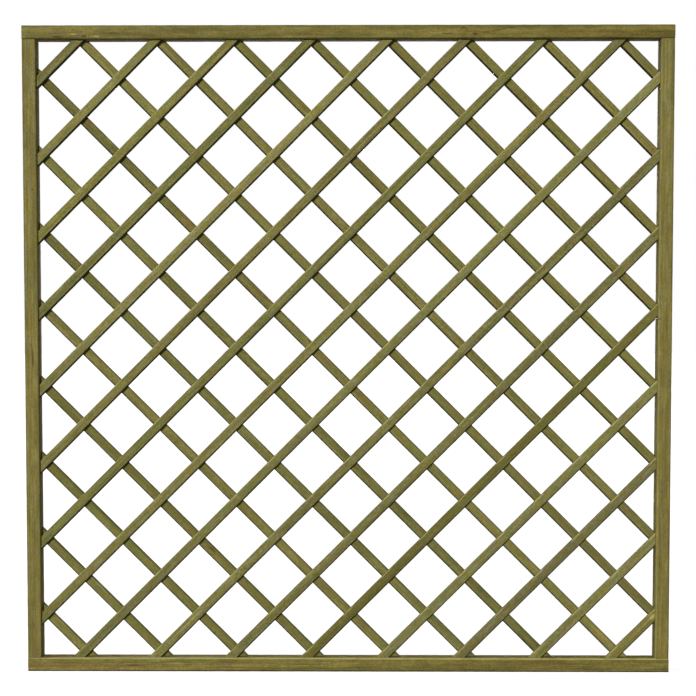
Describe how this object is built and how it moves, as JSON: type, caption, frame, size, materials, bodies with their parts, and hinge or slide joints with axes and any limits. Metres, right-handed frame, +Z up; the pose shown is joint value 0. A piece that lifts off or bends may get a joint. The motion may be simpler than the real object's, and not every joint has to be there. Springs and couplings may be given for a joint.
{
  "type": "trellis panel",
  "caption": "Square wooden trellis panel: a butt-jointed timber frame round two crossed layers of diagonal slats that leave diamond openings for climbing plants.",
  "frame": {"origin": "under the middle of the bottom rail, half way through the frame's depth", "axes": "+X along the panel's width to the right seen from the front, +Y out of its back, +Z up"},
  "size_m": [1.8, 0.038, 1.8],
  "materials": {
    "frame_timber": "planed, pressure-treated softwood, dull olive brown",
    "slat_timber": "fine-sawn, pressure-treated softwood, dull olive green",
    "fixing_steel": "zinc-plated, slightly dulled"
  },
  "bodies": {
    "root": {"top_rail": "frame_timber", "bottom_rail": "frame_timber", "left_stile": "frame_timber", "right_stile": "frame_timber", "front_slat_01": "slat_timber", "front_slat_02": "slat_timber", "front_slat_03": "slat_timber", "front_slat_04": "slat_timber", "front_slat_05": "slat_timber", "front_slat_06": "slat_timber", "front_slat_07": "slat_timber", "front_slat_08": "slat_timber", "front_slat_09": "slat_timber", "front_slat_10": "slat_timber", "front_slat_11": "slat_timber", "front_slat_12": "slat_timber", "front_slat_13": "slat_timber", "front_slat_14": "slat_timber", "front_slat_15": "slat_timber", "front_slat_16": "slat_timber", "back_slat_01": "slat_timber", "back_slat_02": "slat_timber", "back_slat_03": "slat_timber", "back_slat_04": "slat_timber", "back_slat_05": "slat_timber", "back_slat_06": "slat_timber", "back_slat_07": "slat_timber", "back_slat_08": "slat_timber", "back_slat_09": "slat_timber", "back_slat_10": "slat_timber", "back_slat_11": "slat_timber", "back_slat_12": "slat_timber", "back_slat_13": "slat_timber", "back_slat_14": "slat_timber", "back_slat_15": "slat_timber", "back_slat_16": "slat_timber", "top_left_screw_1": "fixing_steel", "top_left_screw_2": "fixing_steel", "top_right_screw_1": "fixing_steel", "top_right_screw_2": "fixing_steel", "bottom_left_screw_1": "fixing_steel", "bottom_left_screw_2": "fixing_steel", "bottom_right_screw_1": "fixing_steel", "bottom_right_screw_2": "fixing_steel"}
  },
  "joints": []
}
